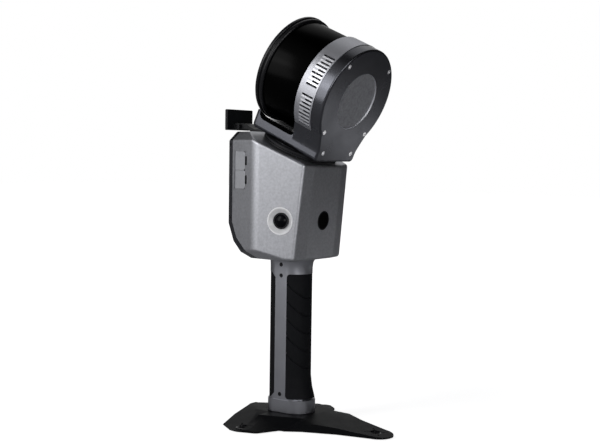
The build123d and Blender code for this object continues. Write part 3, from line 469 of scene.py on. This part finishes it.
# The row in which each slot of a group starts
slot_start_rows = (2, 4, 3, 2, 4, 2, 3, 4, 2)
sector = 360 / sectors
slot_middles = [0.5 * sector + slot_pitch * (number - 0.5 * (slots_in_group - 1))
                for number in range(slots_in_group)]
column_angles = [0.0]
for middle in slot_middles:
    column_angles += [middle - 0.5 * slot_angle, middle + 0.5 * slot_angle]
column_angles.append(sector)
columns = len(column_angles) - 1
rows = len(row_heights) - 1
# Material slots of the ring, after 0 for its plain band
slot_floor = 1
fin_top = 2


def to_radius(vert, radius):
    """Moves a point of the ring in or out to that radius, at its own height."""
    factor = radius / vert.co.to_2d().length
    vert.co.x *= factor
    vert.co.y *= factor


bm = bmesh.new()
for number in range(sectors):
    # A flat grid of cells is marked, wrapped round its sector, and its slots are pressed in
    grid = bmesh.ops.create_grid(bm, x_segments=columns, y_segments=rows, size=0.5)["verts"]
    cells = {face for vert in grid for face in vert.link_faces}
    pressed_cells = {}
    for face in cells:
        middle = face.calc_center_median()
        column = int((middle.x + 0.5) * columns)
        row = int((middle.y + 0.5) * rows)
        plain = row < first_slot_row or row == rows - 1 or column in (0, columns - 1)
        if plain or number not in slotted_sectors:
            continue
        if column % 2 == 0:
            face.material_index = fin_top
        elif row >= slot_start_rows[column // 2]:
            pressed_cells.setdefault(column, []).append(face)
    for vert in grid:
        column = round((vert.co.x + 0.5) * columns)
        row = round((vert.co.y + 0.5) * rows)
        angle = radians(sector * number + column_angles[column])
        radius = ring_radius - (ring_edge if row == 0 else 0.0)
        vert.co = Vector((radius * cos(angle), radius * sin(angle), row_heights[row]))
    for faces in pressed_cells.values():
        pressed = bmesh.ops.extrude_face_region(bm, geom=faces)["geom"]
        bmesh.ops.delete(bm, geom=faces, context="FACES")
        for part in pressed:
            if isinstance(part, bmesh.types.BMFace):
                part.material_index = slot_floor
            elif isinstance(part, bmesh.types.BMVert):
                to_radius(part, ring_radius - slot_depth)
bmesh.ops.remove_doubles(bm, verts=bm.verts, dist=ring_weld)
# Both ends run in to the bore, and the bore joins them
for level in (ring_start, arm_start):
    rim = [e for e in bm.edges if e.is_boundary and abs(e.verts[0].co.z - level) < ring_weld
           and abs(e.verts[1].co.z - level) < ring_weld]
    grown = bmesh.ops.extrude_edge_only(bm, edges=rim)["geom"]
    for vert in [part for part in grown if isinstance(part, bmesh.types.BMVert)]:
        to_radius(vert, ring_bore)
bmesh.ops.bridge_loops(bm, edges=[e for e in bm.edges if e.is_boundary])
# Slot floors take the painted shade finish, and fin tops the painted highlight finish
ring_shown = piece("range_finder_ring", bm, anodised, "head", ("lidar_base_ring",),
                   lidar_frame, sharp_from=turned_sharp_angle)
ring_shown.data.materials.append(slot_shade_paint)
ring_shown.data.materials.append(fin_highlight_paint)


# Stage in metres: pale floor, a studio that reflections see, and soft box lamps
white = (1, 1, 1, 1)
floor_half_side = 6.0
card_place = (0.58, -0.32, 0.0)
studio_dim = 0.04

# Paper floor. The lamps light it and it takes the shadow. The camera also sees it glow, less
# near the object than far from it, so that it fades into the white background. Reflections
# see a round card on it to the right, which the end cover and its screws mirror.
floor_bm = bmesh.new()
bmesh.ops.create_grid(floor_bm, x_segments=1, y_segments=1, size=floor_half_side)
floor_mesh = bpy.data.meshes.new("floor")
floor_bm.to_mesh(floor_mesh)
floor_bm.free()
floor = bpy.data.objects.new("floor", floor_mesh)
bpy.context.scene.collection.objects.link(floor)
floor_paper = bpy.data.materials.new("pale_paper")
floor_paper.use_nodes = True
tree = floor_paper.node_tree
tree.nodes.clear()
ray = add(tree, "ShaderNodeLightPath")
paper = add(tree, "ShaderNodeBsdfDiffuse", Color=linear("F4F4F5"))
spot = add(tree, "ShaderNodeTexCoord")
reach = add(tree, "ShaderNodeVectorMath", {0: spot.outputs["Object"]}, operation="LENGTH")
fade = add(tree, "ShaderNodeMapRange", {"Value": reach.outputs["Value"]}, From_Min=0.2,
           From_Max=0.6, To_Min=0.86, To_Max=1.05, interpolation_type="SMOOTHSTEP")
floor_glow = add(tree, "ShaderNodeEmission", {"Strength": fade.outputs["Result"]}, Color=white)
away = add(tree, "ShaderNodeVectorMath", {0: spot.outputs["Object"]}, operation="DISTANCE")
away.inputs[1].default_value = card_place
card = add(tree, "ShaderNodeMapRange", {"Value": away.outputs["Value"]}, From_Min=0.05,
           From_Max=0.13, To_Min=1.8, To_Max=0.0, interpolation_type="SMOOTHSTEP")
mirrored = add(tree, "ShaderNodeMath",
               {0: ray.outputs["Is Glossy Ray"], 1: card.outputs["Result"]}, operation="MULTIPLY")
card_glow = add(tree, "ShaderNodeEmission", {"Strength": mirrored.outputs[0]}, Color=white)
choose = add(tree, "ShaderNodeMixShader", {0: ray.outputs["Is Camera Ray"],
                                           1: card_glow.outputs[0], 2: floor_glow.outputs[0]})
both = add(tree, "ShaderNodeAddShader", {0: paper.outputs[0], 1: choose.outputs[0]})
add(tree, "ShaderNodeOutputMaterial", {"Surface": both.outputs[0]})
floor.data.materials.append(floor_paper)

# World. The camera sees white, and matt surfaces are lit by a faint, cool fill. Metal and
# glass mirror a dim studio with these lights: the pale left side, the white wall behind, a
# panel overhead, a weak light low in front, and a strong one higher up for the chamfers of the
# body and the round edge of the end cover. Each has its direction, the cosines of the angles
# from it at which the light starts and is full, and its strength.
studio_lights = [((-0.95, 0.26, 0.15), 0.25, 1.0, 0.85),
                 ((0.75, 0.64, 0.14), 0.88, 0.98, 1.0),
                 ((0.55, 0.2, 0.81), 0.84, 0.97, 0.8),
                 ((-0.2, -0.98, 0.0), 0.97, 0.995, 1.2),
                 ((-0.1, -0.97, 0.24), 0.98, 0.997, 5.0)]
world = bpy.data.worlds.new("surround")
bpy.context.scene.world = world
world.use_nodes = True
tree = world.node_tree
tree.nodes.clear()
ray = add(tree, "ShaderNodeLightPath")
way = add(tree, "ShaderNodeTexCoord")
level = add(tree, "ShaderNodeValue")
level.outputs[0].default_value = studio_dim
for direction, start, full, strength in studio_lights:
    toward = add(tree, "ShaderNodeVectorMath", {0: way.outputs["Generated"]},
                 operation="DOT_PRODUCT")
    toward.inputs[1].default_value = direction
    light = add(tree, "ShaderNodeMapRange", {"Value": toward.outputs["Value"]},
                From_Min=start, From_Max=full, To_Min=studio_dim, To_Max=strength,
                interpolation_type="SMOOTHSTEP")
    level = add(tree, "ShaderNodeMath", {0: level.outputs[0], 1: light.outputs["Result"]},
                operation="MAXIMUM")
studio = add(tree, "ShaderNodeBackground", {"Strength": level.outputs[0]}, Color=white)
fill = add(tree, "ShaderNodeBackground", Color=linear("E8EAF0"), Strength=0.06)
backdrop = add(tree, "ShaderNodeBackground", Color=white, Strength=1.0)
mirror = add(tree, "ShaderNodeMath", {0: ray.outputs["Is Glossy Ray"],
                                      1: ray.outputs["Is Transmission Ray"]}, operation="MAXIMUM")
unseen = add(tree, "ShaderNodeMixShader", {0: mirror.outputs[0], 1: fill.outputs[0],
                                           2: studio.outputs[0]})
sky = add(tree, "ShaderNodeMixShader", {0: ray.outputs["Is Camera Ray"], 1: unseen.outputs[0],
                                        2: backdrop.outputs[0]})
add(tree, "ShaderNodeOutputWorld", {"Surface": sky.outputs[0]})

# Lamps: a name, the place, what it is aimed at, the side of its square and its power. The key
# stands at the front left, the edge lamp at the rear left for the flank, and the glint high
# on the left for the fins of the base ring.
lamps = [("key", (-1.0, -1.15, 0.45), (0, 0, 0.2), 0.6, 5.5),
         ("edge", (-2.11, 1.03, 0.8), (0, 0, 0.34), 1.2, 11.5),
         ("glint", (-1.01, 0.38, 0.93), (0, 0, 0.36), 0.5, 2.8)]
for name, place, aim, size, power in lamps:
    lamp_data = bpy.data.lights.new(name, "AREA")
    lamp_data.size = size
    lamp_data.energy = power
    lamp = bpy.data.objects.new(name, lamp_data)
    lamp.location = place
    lamp.rotation_euler = (Vector(place) - Vector(aim)).to_track_quat("Z", "Y").to_euler()
    bpy.context.scene.collection.objects.link(lamp)

bpy.context.scene.view_settings.view_transform = "Standard"
